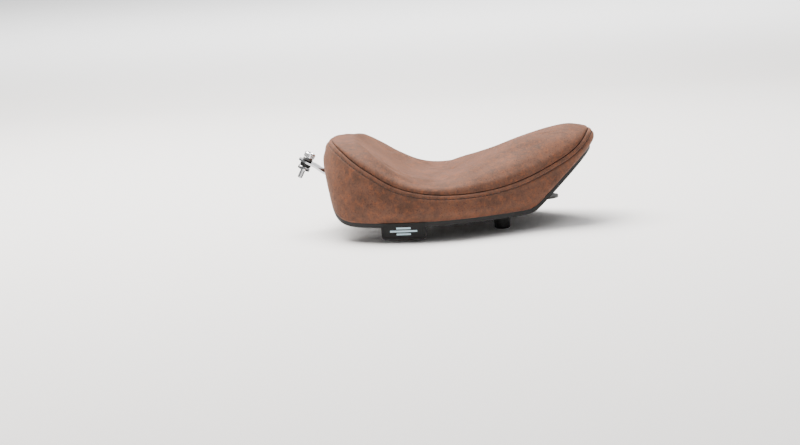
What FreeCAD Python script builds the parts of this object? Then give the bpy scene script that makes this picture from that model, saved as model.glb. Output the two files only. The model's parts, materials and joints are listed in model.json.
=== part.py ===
"""Solo motorcycle seat: sewn cover over moulded foam on a thermoformed base pan, with its mounting hardware.

Lengths are millimetres. The seat is drawn in its own drafting frame: X runs from the tail to the nose, Y to the
rider's left, Z up, with X = 0 at the tail and Z = 0 at the level stretch of the cover's hem. place() then moves
every piece so that the origin is the bottom centre of the bounding box, on the plane of the rubber feet.
"""

import FreeCAD
import Part

import math
import os

Vector = FreeCAD.Vector

# ---- driving dimensions: the padded body --------------------------------------------------------------------
AROUND = 44  # points round each ring of the padded body
RING_START = 1 / 8  # rings start off the middle plane, and their quarters mirror each other across it
BODY_CENTRE_X = 150.0  # where the crown's rings close
WALL_BULGE = 8.0  # how far the side wall swells between hem and seam, at the sides
END_BULGE = 6.5  # and at the tail and nose
COVER_THICK = 2.2  # vinyl with its scrim backing
SEAM_HALF = [(11, 0), (19, 52), (41, 89), (76, 113), (123, 121.5), (181, 112), (239, 88), (298, 61), (331, 43),
             (343.5, 0)]
HEM_HALF = [(0, 0), (8, 62), (24, 92), (62, 112), (123, 122), (181, 113), (239, 87), (290, 61), (330, 37),
            (347, 0)]
SEAM_HEIGHT = [(11, 95.5), (22, 89), (42, 75), (67, 59.5), (85, 49), (104, 41.3), (142, 33.1), (181, 31),
               (220, 33.5), (259, 42.2), (298, 58), (331, 79), (343.5, 92.3)]
SPINE_HEIGHT = [(0, 92.5), (14, 96), (27, 97.5), (45, 91.3), (70, 74.3), (100, 54), (130, 43.5), (160, 45.3),
                (190, 55.7), (220, 67.5), (250, 78.5), (280, 88.3), (305, 98), (325, 105), (338, 103.5), (352, 95.5)]
SIDE_RISE = [(0, 0), (40, 4), (80, 9), (120, 9), (160, 8), (200, 4), (240, 0), (290, -2), (352, 0)]
SIDE_RISE_AT = 118.0  # half width at which the rise of the bucket's sides is stated
CROWN_POWER = [(0, 6), (60, 5), (120, 5), (180, 4), (230, 3), (280, 2.4), (352, 2.4)]
WALL_SHARES = [0.0, 0.2, 0.45, 0.7, 0.9]  # rings between hem and seam
CROWN_SHARES = [1.0, 0.985, 0.95, 0.88, 0.78, 0.65, 0.5, 0.36, 0.22, 0.1]  # rings from seam to centre

# ---- driving dimensions: the underside ------------------------------------------------------------------------
ARCH_RADIUS = 406.0  # relief over the rear mudguard, round the wheel's axle
ARCH_AXLE = (-161.0, -310.0)  # x, z
ARCH_WIDTH = 220.0
RAMP_START = 268.0  # where the underside starts to climb towards the tank
RAMP_SLOPE = 0.93
BLEND = 6.0  # rounding where arch and ramp meet the level stretch
PAN_TOP = 10.0  # heights over the hem surface
PAN_UNDER = 6.0
WRAP = 2.0
LAP_UNDER = 4.0
PAN_WALL_INSET = 6.5  # plan insets from the hem outline
LAP_INSET = 8.5
LAP_END_INSET = 24.0
TRIM_DEPTH = 6.0
TRIM_OUTER_INSET = 1.0
TRIM_INNER_INSET = 10.5
LINER_GAP = 0.5
FIT_GAP = 0.2  # between the cover and the pan and foam inside it

# ---- driving dimensions: feet, brackets, knob ---------------------------------------------------------------
FOOT_PLANE = -25.0
FOOT_PLACES = {"rear_left": (108, 72), "rear_right": (108, -72), "front_left": (226, 50), "front_right": (226, -50)}
FOOT_RADIUS = 10.0
FOOT_FLANGE_RADIUS = 12.5
FOOT_FLANGE_THICK = 3.0
FOOT_BORE = 2.75
FOOT_COUNTERBORE = 5.5
FOOT_SHELF = 9.0  # rubber left between the screw's head and the pan
SCREW_RADIUS = 2.5
SCREW_HEAD_RADIUS = 4.6
SCREW_HEAD_HEIGHT = 3.2
INSERT_RADIUS = 4.0
INSERT_FLANGE_RADIUS = 6.0

BOLT_RADIUS = 3.0
BOLT_HOLE = 3.3
BOLT_HEAD_RADIUS = 5.3
BOLT_HEAD_HEIGHT = 3.3
HEX_FLATS = 4.0
WASHER_RADIUS = 8.0
WASHER_THICK = 1.6
TEE_FLANGE_RADIUS = 9.5
TEE_FLANGE_THICK = 1.5
TEE_BARREL_RADIUS = 4.0

TONGUE_START = 198.0
TONGUE_END = 302.0
TONGUE_WIDTH = 38.0
TONGUE_THICK = 3.0
TONGUE_HOLE_X = 283.0
TONGUE_HOLE_RADIUS = 4.25
TONGUE_BOLTS_X = (212.0, 240.0)

STRAP_THICK = 2.5
STRAP_WIDTH = 32.0
STRAP_END_WIDTH = 22.0
STRAP_WIDE_X = 4.0  # where the strap reaches its full width
STRAP_FRONT = 80.0
STRAP_FLAT = (-3.6, 57.5)  # x, z of the flat knob end's upper face, carried on to the tail
STRAP_FLAT_TO_ARCH = (-14.0, 0.0)
STRAP_LOW = -6.8  # strap's upper face over the hem surface at the tail, clear of the trim
STRAP_CLIMB = (12.0, 34.0)  # where it climbs to the pan
STRAP_BOLTS_X = (47.0, 66.0)
STRAP_BOLT_TILT = 31.5  # degrees, lean of those bolts' axes towards the nose
STRAP_CURL = 0.5  # washers hang this much lower, since the strap is curved across

KNOB_X = -23.7
KNOB_TILT = 28.0  # degrees, lean of the knob's axis towards the nose
KNOB_POINT = (
    KNOB_X - STRAP_THICK / 2 * math.sin(math.radians(KNOB_TILT)),
    STRAP_FLAT[1] - math.tan(math.radians(KNOB_TILT)) * (KNOB_X - STRAP_FLAT[0])
    - STRAP_THICK / 2 * math.cos(math.radians(KNOB_TILT)),
)  # x, z where the knob's axis crosses the strap's middle plane
STUD_RADIUS = 3.175
STUD_LENGTH = 34.0
STUD_FREE = 12.0  # threaded end, below the shoulder
SHANK_RADIUS = 3.4
GROMMET_BORE = 3.7
GROMMET_NECK = 5.0
GROMMET_RADIUS = 7.4
GROMMET_BELOW = 5.0
GROMMET_LIP_RADIUS = 6.2
GROMMET_LIP = 1.0
CUP_RADIUS = 8.2
CUP_HEIGHT = 4.6
KNOB_RADIUS = 7.3
KNOB_HEIGHT = 8.0
KNOB_FLUTES = 24
KNOB_GAP = 0.4
NYLON_THICK = 1.6
NYLON_RADIUS = 6.6

TAG_START = 72.5
TAG_END = 128.5
TAG_DEPTH = 21.0
TAG_OUTER = 1.1  # plan offsets from the hem outline
TAG_INNER = -0.9
TAG_CORNER = 5.0
TAG_BORDER = 2.6
TAG_RECESS = 0.5

THREAD_SIZE = 0.9
THREAD_DROP = 6.0  # how far the stitching runs below the seam
STAPLES = 46
STAPLE_CROWN = 10.0
STAPLE_WIRE = 0.9
STAPLE_LEG = 3.8


# ---- curves and height functions --------------------------------------------------------------------------
def profile(points):
    """A smooth height over X through (x, height) points."""
    curve = Part.BSplineCurve()
    curve.interpolate(Points=[Vector(x, 0, z) for x, z in points], Parameters=[float(x) for x, _ in points])
    first, last = points[0][0], points[-1][0]

    def height(x):
        return curve.value(min(max(x, first), last)).z

    return height


def loop_parameters():
    """Centripetal parameters shared by the seam and hem loops, so that their points stay paired."""
    middle = [((a[0] + b[0]) / 2, (a[1] + b[1]) / 2) for a, b in zip(SEAM_HALF, HEM_HALF)]
    loop = middle + [(x, -y) for x, y in middle[-2:0:-1]] + [middle[0]]
    values = [0.0]
    for (x0, y0), (x1, y1) in zip(loop, loop[1:]):
        values.append(values[-1] + math.sqrt(math.hypot(x1 - x0, y1 - y0)))
    return [v / values[-1] for v in values]


def closed_curve(half):
    """A smooth closed plan curve through half an outline and its mirror image, over parameters 0 to 1.

    It is drawn half a lap past both ends, so that it is as smooth at the tail as anywhere else.
    """
    loop = half + [(x, -y) for x, y in half[-2:0:-1]]
    values = loop_parameters()
    count = len(loop)
    turns = range(-count // 2, count + count // 2 + 1)
    curve = Part.BSplineCurve()
    curve.interpolate(
        Points=[Vector(*loop[k % count], 0) for k in turns], Parameters=[values[k % count] + k // count for k in turns]
    )
    return curve


seam_curve = closed_curve(SEAM_HALF)
hem_curve = closed_curve(HEM_HALF)
seam_height = profile(SEAM_HEIGHT)
spine_height = profile(SPINE_HEIGHT)
side_rise = profile(SIDE_RISE)
crown_power = profile(CROWN_POWER)


def soft_positive(value, rounding=BLEND):
    """value where it is positive and 0 elsewhere, with the corner rounded."""
    return 0.5 * (value + math.sqrt(value * value + rounding * rounding))


def smooth_step(value, start, end):
    """0 up to start, 1 from end, and an even curve between."""
    share = min(max((value - start) / (end - start), 0), 1)
    return share * share * (3 - 2 * share)


def under_height(x, y):
    """The surface that the hem lies in: level, arched over the mudguard at the tail, climbing at the nose."""
    axle_x, axle_z = ARCH_AXLE
    crest = axle_z + math.sqrt(max(ARCH_RADIUS**2 - (x - axle_x) ** 2, 0))
    across = math.cos(math.pi * min(abs(y) / ARCH_WIDTH, 0.5)) ** 2
    return soft_positive(crest) * across + soft_positive((x - RAMP_START) * RAMP_SLOPE)


def ring_share(j):
    """Where ring point j lies along the outline, as a share of it."""
    return (j / AROUND + RING_START) % 1.0


def inward(curve, u):
    """The level direction square to a plan outline, into the seat."""
    along = curve.tangent(u)[0]
    return Vector(along.y, -along.x, 0)


def hem_point(u, inset=0.0):
    """A plan point on the hem outline, moved inwards by inset."""
    return hem_curve.value(u) + inward(hem_curve, u) * inset


def wall_point(u, share, depth):
    """A point of the side wall, from the hem at share 0 to the seam at share 1, depth inside the cover."""
    low, high = hem_curve.value(u), seam_curve.value(u)
    low_z, high_z = under_height(low.x, low.y), seam_height(high.x)
    x = low.x + (high.x - low.x) * share
    y = low.y + (high.y - low.y) * share
    out = Vector(x - BODY_CENTRE_X, y, 0).normalize()
    swell = (END_BULGE + (WALL_BULGE - END_BULGE) * abs(out.y)) * math.sin(math.pi * share**0.9)
    across = (inward(hem_curve, u) * (1 - share) + inward(seam_curve, u) * share).normalize()
    z = low_z + (high_z - low_z) * share - depth * share
    return Vector(x, y, z) + out * swell + across * depth


def crown_point(u, share, depth):
    """A point of the top panel, from the centre at share 0 to the seam at share 1, depth inside the cover."""
    edge = seam_curve.value(u)
    x = BODY_CENTRE_X + (edge.x - BODY_CENTRE_X) * share
    y = edge.y * share
    seam_z = seam_height(edge.x)
    table_z = spine_height(x) + side_rise(x) * (y / SIDE_RISE_AT) ** 2
    fall = math.sqrt(max(1 - share ** crown_power(x), 0))
    return Vector(x, y, seam_z + (table_z - seam_z) * fall - depth) + inward(seam_curve, u) * depth * share


# ---- the padded body ------------------------------------------------------------------------------------------
def body_rings(depth):
    """Rings of the padded body's surface, depth inside the cover, from the hem up over the crown."""
    shares = [(wall_point, s) for s in WALL_SHARES] + [(crown_point, s) for s in CROWN_SHARES]
    return [[make(ring_share(j), s, depth) for j in range(AROUND)] for make, s in shares]


def flat_ring(ring, z):
    return [Vector(p.x, p.y, z) for p in ring]


def ring_wire(ring):
    """A smooth closed wire through a ring's points, in four edges so that lofts have no closed faces."""
    curve = Part.BSplineCurve()
    curve.interpolate(Points=ring, PeriodicFlag=True, Parameters=[j / AROUND for j in range(AROUND + 1)])
    return Part.Wire([curve.toShape(q / 4, (q + 1) / 4) for q in range(4)])


def padded_body(depth):
    """The closed body inside the cover's outer surface by depth, carried down past the hem to a level floor."""
    rings = body_rings(depth)
    hem, last = rings[0], rings[-1]
    floor_z = FOOT_PLANE - 20
    down = [[Vector(p.x, p.y, floor_z + (p.z - floor_z) * s) for p in hem] for s in (0.0, 0.25, 0.5, 0.75, 0.9)]
    middle_z = sum(p.z for p in last) / AROUND
    rings = [*down, *rings[:-1], flat_ring(last, middle_z)]
    return Part.makeLoft([ring_wire(r) for r in rings], True, False)


# ---- slabs and prisms -----------------------------------------------------------------------------------------
REACH = 260.0


def under_face(lift):
    """The hem surface, lifted, over a rectangle larger than the seat."""
    xs = [-20 + 385 * i / 35 for i in range(36)]
    ys = [-140 + 280 * j / 20 for j in range(21)]
    surface = Part.BSplineSurface()
    surface.interpolate([[Vector(x, y, under_height(x, y) + lift) for y in ys] for x in xs])
    return surface.toShape()


def above(lift):
    return under_face(lift).extrude(Vector(0, 0, REACH))


def below(lift):
    return under_face(lift).extrude(Vector(0, 0, -REACH))


def between(low, high):
    return under_face(low).extrude(Vector(0, 0, high - low))


def hem_prism(inset):
    """Everything inside the hem outline, moved inwards by inset."""
    points = [hem_point(ring_share(j), inset) for j in range(AROUND)]
    face = Part.Face(ring_wire(flat_ring(points, -REACH / 2)))
    return face.extrude(Vector(0, 0, REACH))


def hem_band(outer, inner, low, high):
    """A band that follows the hem, between two plan insets and two heights over the hem surface."""
    return hem_prism(outer).cut(hem_prism(inner)).common(between(low, high))


def seam_slab(low, high):
    """Everything between two heights over the seam's own height."""
    xs = [-20 + 385 * i / 40 for i in range(41)]
    edges = []
    for lift in (low, high):
        curve = Part.BSplineCurve()
        curve.interpolate([Vector(x, -160, seam_height(x) + lift) for x in xs])
        edges.append(curve.toShape())
    lower, upper = edges
    ends = [Part.makeLine(lower.Vertexes[k].Point, upper.Vertexes[k].Point) for k in (0, 1)]
    return Part.Face(Part.Wire([lower, ends[1], upper, ends[0]])).extrude(Vector(0, 320, 0))


# ---- turned parts -----------------------------------------------------------------------------------------------
def turned(outline):
    """A solid of revolution about Z from (radius, z) points."""
    points = [Vector(r, 0, z) for r, z in outline]
    face = Part.Face(Part.makePolygon([*points, points[0]]))
    return face.revolve(Vector(0, 0, 0), Vector(0, 0, 1), 360)


def stand(shape, x, y, z, tilt=0.0):
    """shape moved to (x, y, z), its Z axis leaning towards the nose by tilt degrees."""
    turn = FreeCAD.Rotation(Vector(0, 1, 0), tilt)
    return shape.transformed(FreeCAD.Placement(Vector(x, y, z), turn).toMatrix())


def socket_head_bolt(grip):
    """A button-head bolt with a hexagon socket: its head hangs below z = 0 and its shank rises to grip."""
    dome = [(0, 0), (BOLT_HEAD_RADIUS, 0), (BOLT_HEAD_RADIUS, -0.9)]
    for k in range(1, 7):
        a = math.pi / 2 * k / 6
        r = 2.6 + (BOLT_HEAD_RADIUS - 2.6) * math.cos(a)
        dome.append((r, -0.9 - (BOLT_HEAD_HEIGHT - 0.9) * math.sin(a)))
    dome.append((0, -BOLT_HEAD_HEIGHT))
    head = turned(dome)
    corner = HEX_FLATS / math.sqrt(3)
    hexagon = [Vector(corner * math.cos(math.pi / 3 * k), corner * math.sin(math.pi / 3 * k), -BOLT_HEAD_HEIGHT)
               for k in range(7)]
    socket = Part.Face(Part.makePolygon(hexagon)).extrude(Vector(0, 0, 2.0))
    return head.cut(socket).fuse(Part.makeCylinder(BOLT_RADIUS, grip)).removeSplitter()


def washer(radius, bore, thick):
    return Part.makeCylinder(radius, thick).cut(Part.makeCylinder(bore, thick))


def tee_nut(barrel):
    """A flanged nut: flange up from z = 0, barrel hanging to -barrel."""
    flange = washer(TEE_FLANGE_RADIUS, BOLT_RADIUS + 0.05, TEE_FLANGE_THICK)
    neck = Part.makeCylinder(TEE_BARREL_RADIUS, barrel, Vector(0, 0, -barrel))
    return flange.fuse(neck).cut(Part.makeCylinder(BOLT_RADIUS + 0.05, barrel + 10, Vector(0, 0, -barrel)))


def place_bolts(shape, spots):
    return Part.makeCompound([stand(shape, x, 0, z, tilt) for x, z, tilt in spots])


# ---- sub-parts ----------------------------------------------------------------------------------------------------
def tongue_spots():
    """Under the tongue, at each of its bolts."""
    return [(x, PAN_UNDER - TONGUE_THICK, 0.0) for x in TONGUE_BOLTS_X]


def strap_spots():
    """Under the strap, at each of its bolts."""
    lean = math.radians(STRAP_BOLT_TILT)
    return [(x - STRAP_THICK * math.sin(lean), strap_top(x, 0) - STRAP_THICK * math.cos(lean) - STRAP_CURL,
             STRAP_BOLT_TILT) for x in STRAP_BOLTS_X]


def bolt_set(spots, grip):
    """Bolts, washers and tee nuts for holes through a bracket and the pan, grip apart from face to face."""
    down = [(x - WASHER_THICK * math.sin(math.radians(t)), z - WASHER_THICK * math.cos(math.radians(t)), t)
            for x, z, t in spots]
    top = [(x + grip * math.sin(math.radians(t)), z + grip * math.cos(math.radians(t)), t) for x, z, t in spots]
    bolts = place_bolts(socket_head_bolt(grip + WASHER_THICK + TEE_FLANGE_THICK), down)
    washers = place_bolts(washer(WASHER_RADIUS, BOLT_HOLE, WASHER_THICK), down)
    nuts = place_bolts(tee_nut(2.5), top)
    return bolts, washers, nuts


def hole_tools(spots, radius, low, high):
    tool = Part.makeCylinder(radius, high - low, Vector(0, 0, low))
    return Part.makeCompound([stand(tool, x, 0, z, t) for x, z, t in spots])


def front_bracket():
    """A flat steel tongue under the pan that slides under the frame's cross tab."""
    half = TONGUE_WIDTH / 2
    bar = Part.makeBox(TONGUE_END - TONGUE_START - 2 * half, TONGUE_WIDTH, TONGUE_THICK,
                       Vector(TONGUE_START + half, -half, PAN_UNDER - TONGUE_THICK))
    for x in (TONGUE_START + half, TONGUE_END - half):
        bar = bar.fuse(Part.makeCylinder(half, TONGUE_THICK, Vector(x, 0, PAN_UNDER - TONGUE_THICK)))
    bar = bar.removeSplitter()
    hole = Part.makeCylinder(TONGUE_HOLE_RADIUS, 20, Vector(TONGUE_HOLE_X, 0, -5))
    return bar.cut(hole).cut(hole_tools(tongue_spots(), BOLT_HOLE, -5, 20))


def strap_top(x, y):
    """The strap's upper surface: flat at the knob, below the trim at the tail, against the pan at its bolts."""
    flat = STRAP_FLAT[1] - math.tan(math.radians(KNOB_TILT)) * (x - STRAP_FLAT[0])
    climb = smooth_step(x, *STRAP_CLIMB)
    hug = under_height(x, y) + STRAP_LOW + (PAN_UNDER - STRAP_LOW) * climb
    share = smooth_step(x, *STRAP_FLAT_TO_ARCH)
    return flat + (hug - flat) * share


def rear_strap():
    """A pressed steel strap from under the pan, out past the tail, to the knob."""
    xs = [-46 + 134 * i / 50 for i in range(51)]
    ys = [-24 + 48 * j / 12 for j in range(13)]
    surface = Part.BSplineSurface()
    surface.interpolate([[Vector(x, y, strap_top(x, y)) for y in ys] for x in xs])
    lean = math.radians(KNOB_TILT)
    strap = surface.toShape().extrude(Vector(math.sin(lean), 0, math.cos(lean)) * -STRAP_THICK)
    end, wide = STRAP_END_WIDTH / 2, STRAP_WIDTH / 2
    knob_x, knob_z = KNOB_POINT
    plan = [(knob_x, end), (STRAP_WIDE_X, wide), (STRAP_FRONT, wide), (STRAP_FRONT, -wide), (STRAP_WIDE_X, -wide),
            (knob_x, -end), (knob_x, end)]
    blank = Part.Face(Part.makePolygon([Vector(x, y, -50) for x, y in plan])).extrude(Vector(0, 0, 200))
    round_end = on_knob_axis(Part.makeCylinder(end, 60, Vector(0, 0, -30)))
    strap = strap.common(blank.fuse(round_end))
    hole = on_knob_axis(Part.makeCylinder(GROMMET_NECK, 60, Vector(0, 0, -30)))
    return strap.cut(hole).cut(hole_tools(strap_spots(), BOLT_HOLE, -8, 12))


def on_knob_axis(shape):
    return stand(shape, KNOB_POINT[0], 0, KNOB_POINT[1], KNOB_TILT)


def strap_grommet():
    """A rubber grommet through the strap: thick flange below, thin lip above."""
    t = STRAP_THICK / 2 + 0.15
    outline = [
        (GROMMET_BORE, -t - GROMMET_BELOW), (GROMMET_RADIUS - 0.8, -t - GROMMET_BELOW),
        (GROMMET_RADIUS, -t - GROMMET_BELOW + 0.8), (GROMMET_RADIUS, -t - 0.8), (GROMMET_RADIUS - 0.8, -t),
        (GROMMET_NECK - 0.05, -t), (GROMMET_NECK - 0.05, t), (GROMMET_LIP_RADIUS, t),
        (GROMMET_LIP_RADIUS - 0.4, t + GROMMET_LIP), (GROMMET_BORE, t + GROMMET_LIP),
    ]
    return on_knob_axis(turned(outline))


def grommet_cup():
    """A domed steel cup washer under the grommet, which bears on the mudguard."""
    top = -STRAP_THICK / 2 - 0.15 - GROMMET_BELOW
    outline = [(GROMMET_BORE, top), (GROMMET_RADIUS - 1.0, top)]
    for k in range(1, 7):
        a = math.pi / 2 * k / 6
        r = GROMMET_RADIUS - 1.0 + (CUP_RADIUS - GROMMET_RADIUS + 1.0) * math.sin(a)
        outline.append((r, top - (CUP_HEIGHT - 1.0) * (1 - math.cos(a))))
    outline += [(CUP_RADIUS, top - CUP_HEIGHT), (CUP_RADIUS - 1.2, top - CUP_HEIGHT),
                (GROMMET_BORE + 0.6, top - 1.4), (GROMMET_BORE, top - 1.4)]
    return on_knob_axis(turned(outline))


def knob_base():
    """Height over the strap's middle plane at which the moving pieces start."""
    return STRAP_THICK / 2 + 0.15 + GROMMET_LIP + KNOB_GAP


def knob_washer():
    low = knob_base()
    ring = washer(NYLON_RADIUS, SHANK_RADIUS + 0.35, NYLON_THICK)
    ring.translate(Vector(0, 0, low))
    return on_knob_axis(ring)


def thumb_knob():
    """A fluted round knob with a dished, chamfered top, on the stud."""
    low = knob_base() + NYLON_THICK + KNOB_GAP
    top = low + KNOB_HEIGHT
    outline = [
        (SHANK_RADIUS, low), (KNOB_RADIUS - 1.6, low), (KNOB_RADIUS - 1.2, low + 1.2), (KNOB_RADIUS, low + 1.8),
        (KNOB_RADIUS, top - 1.2), (KNOB_RADIUS - 1.2, top), (3.6, top), (3.0, top - 0.6), (0, top - 0.6),
        (0, top - 2.2), (SHANK_RADIUS, top - 2.2),
    ]
    knob = turned(outline)
    flute = Part.makeCylinder(0.62, KNOB_HEIGHT, Vector(KNOB_RADIUS + 0.2, 0, low + 1.2))
    flutes = []
    for k in range(KNOB_FLUTES):
        one = flute.copy()
        one.rotate(Vector(0, 0, 0), Vector(0, 0, 1), 360.0 * k / KNOB_FLUTES)
        flutes.append(one)
    return on_knob_axis(knob.cut(Part.makeCompound(flutes)))


def knob_stud():
    """The knob's stud: a plain shank through the grommet and a thinner threaded end with a chamfer."""
    top = knob_base() + NYLON_THICK + KNOB_GAP + KNOB_HEIGHT - 2.2
    low = top - STUD_LENGTH
    outline = [
        (0, top), (SHANK_RADIUS, top), (SHANK_RADIUS, low + STUD_FREE), (STUD_RADIUS, low + STUD_FREE),
        (STUD_RADIUS, low + 1.0), (STUD_RADIUS - 1.0, low), (0, low),
    ]
    return on_knob_axis(turned(outline))


def rubber_foot(x, y):
    """A tapered rubber foot with a flange against the pan and a counterbore for its screw."""
    top = PAN_UNDER
    outline = [
        (FOOT_BORE, top), (FOOT_FLANGE_RADIUS, top), (FOOT_FLANGE_RADIUS, top - FOOT_FLANGE_THICK),
        (FOOT_RADIUS + 1.2, top - FOOT_FLANGE_THICK - 1.0), (FOOT_RADIUS, FOOT_PLANE + 1.5),
        (FOOT_RADIUS - 1.5, FOOT_PLANE), (FOOT_COUNTERBORE, FOOT_PLANE), (FOOT_COUNTERBORE, top - FOOT_SHELF),
        (FOOT_BORE, top - FOOT_SHELF),
    ]
    return stand(turned(outline), x, y, 0)


def foot_screw():
    """A pan-head screw with a cross recess, its head below z = 0."""
    head = turned([
        (0, 0), (SCREW_HEAD_RADIUS, 0), (SCREW_HEAD_RADIUS, -SCREW_HEAD_HEIGHT + 1.0),
        (SCREW_HEAD_RADIUS - 1.4, -SCREW_HEAD_HEIGHT), (0, -SCREW_HEAD_HEIGHT),
    ])
    length = FOOT_SHELF + PAN_TOP - PAN_UNDER
    shape = head.fuse(Part.makeCylinder(SCREW_RADIUS, length))
    for sx, sy in ((4.4, 1.0), (1.0, 4.4)):
        shape = shape.cut(Part.makeBox(sx, sy, 1.6, Vector(-sx / 2, -sy / 2, -SCREW_HEAD_HEIGHT)))
    return shape.removeSplitter()


def foot_inserts():
    """Brass inserts set in the pan over each foot."""
    outline = [
        (SCREW_RADIUS + 0.05, 0), (INSERT_RADIUS, 0), (INSERT_RADIUS, PAN_TOP - PAN_UNDER),
        (INSERT_FLANGE_RADIUS, PAN_TOP - PAN_UNDER), (INSERT_FLANGE_RADIUS, PAN_TOP - PAN_UNDER + 1.2),
        (SCREW_RADIUS + 0.05, PAN_TOP - PAN_UNDER + 1.2),
    ]
    one = turned(outline)
    return Part.makeCompound([stand(one, x, y, PAN_UNDER) for x, y in FOOT_PLACES.values()])


def cover_staples():
    """Wire staples through the turned-under edge of the cover, all round."""
    staple = Part.makeBox(STAPLE_CROWN, STAPLE_WIRE, STAPLE_WIRE,
                          Vector(-STAPLE_CROWN / 2, -STAPLE_WIRE / 2, -STAPLE_WIRE))
    for x in (-STAPLE_CROWN / 2, STAPLE_CROWN / 2 - STAPLE_WIRE):
        staple = staple.fuse(Part.makeBox(STAPLE_WIRE, STAPLE_WIRE, STAPLE_LEG, Vector(x, -STAPLE_WIRE / 2, 0)))
    staple = staple.removeSplitter()
    inset = (LAP_INSET + LAP_END_INSET) / 2
    placed = []
    for k in range(STAPLES):
        u = (k + 0.5) / STAPLES
        here = hem_point(u, inset)
        if here.x < STRAP_CLIMB[1] and abs(here.y) < STRAP_WIDTH / 2 + STAPLE_CROWN:
            continue
        step = 0.5
        slope_x = (under_height(here.x + step, here.y) - under_height(here.x - step, here.y)) / (2 * step)
        slope_y = (under_height(here.x, here.y + step) - under_height(here.x, here.y - step)) / (2 * step)
        up = Vector(-slope_x, -slope_y, 1).normalize()
        flat = hem_curve.tangent(u)[0]
        along = (flat - up * flat.dot(up)).normalize()
        turn = FreeCAD.Rotation(along, up.cross(along), up, "ZXY")
        spot = Vector(here.x, here.y, under_height(here.x, here.y) + LAP_UNDER - 0.25)
        placed.append(staple.transformed(FreeCAD.Placement(spot, turn).toMatrix()))
    return Part.makeCompound(placed)


def tag_outline(border, bottom_corner):
    """The tag's side-on outline: square at the top, round at its lower corners."""
    x0, x1 = TAG_START + border, TAG_END - border
    z0, z1 = -TAG_DEPTH + border, -border
    if not border:
        z1 = -0.15
    r = bottom_corner
    bend = r * (1 - math.cos(math.pi / 4))
    return Part.Wire([
        Part.makeLine(Vector(x0, 0, z1), Vector(x0, 0, z0 + r)),
        Part.Arc(Vector(x0, 0, z0 + r), Vector(x0 + bend, 0, z0 + bend), Vector(x0 + r, 0, z0)).toShape(),
        Part.makeLine(Vector(x0 + r, 0, z0), Vector(x1 - r, 0, z0)),
        Part.Arc(Vector(x1 - r, 0, z0), Vector(x1 - bend, 0, z0 + bend), Vector(x1, 0, z0 + r)).toShape(),
        Part.makeLine(Vector(x1, 0, z0 + r), Vector(x1, 0, z1)),
        Part.makeLine(Vector(x1, 0, z1), Vector(x0, 0, z1)),
    ])


def tag_slice(outer, inner, wire):
    """The part of a band along the rider's right-hand hem that lies inside wire."""
    band = hem_prism(-outer).cut(hem_prism(-inner))
    return band.common(Part.Face(wire).extrude(Vector(0, -160, 0)))


def tag_body():
    body = tag_slice(TAG_OUTER, TAG_INNER, tag_outline(0, TAG_CORNER))
    panel = tag_slice(TAG_OUTER + 1, TAG_OUTER - TAG_RECESS, tag_outline(TAG_BORDER, TAG_CORNER - TAG_BORDER))
    return body.cut(panel)


def tag_emblem():
    """Three plain bars printed on the tag, the middle one longest."""
    middle_x = (TAG_START + TAG_END) / 2
    bars = []
    for length, z in ((18.0, -6.6), (34.0, -10.4), (18.0, -14.2)):
        x = middle_x - length / 2
        corners = [Vector(x, 0, z - 1.1), Vector(x + length, 0, z - 1.1), Vector(x + length, 0, z + 1.1),
                   Vector(x, 0, z + 1.1)]
        bars.append(tag_slice(TAG_OUTER - TAG_RECESS + 0.3, TAG_OUTER - TAG_RECESS,
                              Part.makePolygon([*corners, corners[0]])))
    return Part.makeCompound(bars)


def padded_parts():
    """The cover's panels, their stitching, the foam and the pan."""
    outer, inner, filling = (padded_body(depth) for depth in (0, COVER_THICK, COVER_THICK + FIT_GAP))
    tongue, strap = tongue_spots(), strap_spots()
    holes = [hole_tools(tongue, TEE_BARREL_RADIUS, -5, 30), hole_tools(strap, TEE_BARREL_RADIUS, 0, 12)]
    inserts = Part.makeCompound([
        Part.makeCylinder(INSERT_RADIUS, 12, Vector(x, y, 0)) for x, y in FOOT_PLACES.values()])

    recess = hem_prism(PAN_WALL_INSET - FIT_GAP).common(below(PAN_UNDER))
    pan = filling.common(between(WRAP + FIT_GAP, PAN_TOP)).cut(recess)
    pan = pan.cut(Part.makeCompound([*holes, inserts]))

    cover = outer.common(above(0)).cut(inner.common(above(WRAP)))
    cover = cover.cut(hem_prism(LAP_INSET).common(below(PAN_TOP)))
    seam_tool = seam_slab(0, REACH)
    top_panel = cover.common(seam_tool)
    sides = cover.cut(seam_tool)
    lap = hem_band(PAN_WALL_INSET, LAP_END_INSET, WRAP / 2, PAN_UNDER - FIT_GAP)
    lap = lap.cut(hem_prism(LAP_INSET).common(between(-PAN_TOP, LAP_UNDER)))
    sides = sides.fuse(lap)

    foam = filling.common(above(PAN_TOP))
    return {
        "top_panel": top_panel,
        "side_panel_left": sides.common(Part.makeBox(500, 200, 500, Vector(-50, 0, -250))),
        "side_panel_right": sides.common(Part.makeBox(500, 200, 500, Vector(-50, -200, -250))),
        "seam_thread": seam_thread(outer),
        "foam_core": foam,
        "base_pan": pan,
    }


def seam_thread(outer):
    """A line of stitching on the side panels, just under the seam."""
    band = seam_slab(-THREAD_DROP - THREAD_SIZE, -THREAD_DROP)
    return padded_body(-THREAD_SIZE).common(band).cut(outer)


def edge_trim():
    """A black rubber edge strip under the hem, gripping the pan's lip from inside."""
    foot = hem_band(TRIM_OUTER_INSET, TRIM_INNER_INSET, -TRIM_DEPTH, 0)
    lip = hem_band(LAP_INSET, TRIM_INNER_INSET, 0, LAP_UNDER)
    return foot.fuse(lip).removeSplitter()


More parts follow.
